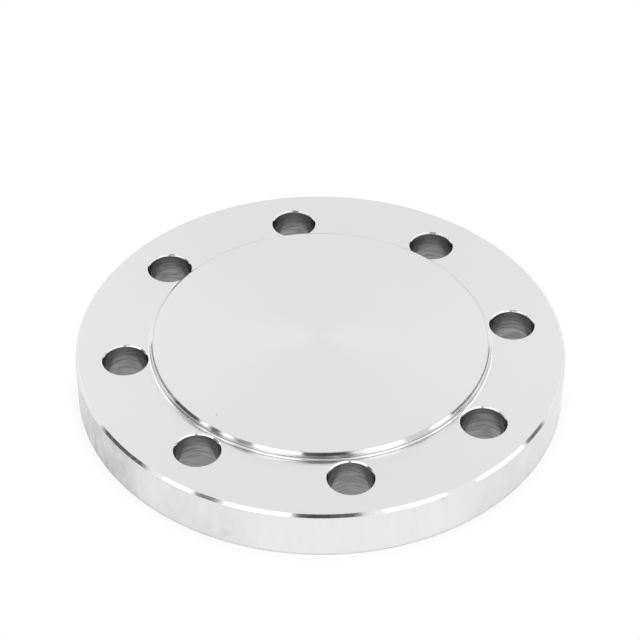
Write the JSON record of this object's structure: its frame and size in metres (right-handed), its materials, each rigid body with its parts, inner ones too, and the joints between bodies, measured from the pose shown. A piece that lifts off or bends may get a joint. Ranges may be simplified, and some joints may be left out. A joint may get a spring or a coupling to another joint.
{
  "type": "blind flange",
  "caption": "Round solid flange that closes the end of a flanged pipe or valve, with a raised sealing face and a ring of bolt holes straddling its centre lines.",
  "frame": {"origin": "centre of the back face, on the flange's axis", "axes": "+Z along the flange's axis, out of the raised face; the bolt holes straddle the X and Y centre lines"},
  "size_m": [0.2, 0.2, 0.024],
  "materials": {
    "turned_stainless_steel": "fine turned faces and rim, drilled bores"
  },
  "bodies": {
    "root": {"blind_flange": "turned_stainless_steel"}
  },
  "joints": []
}
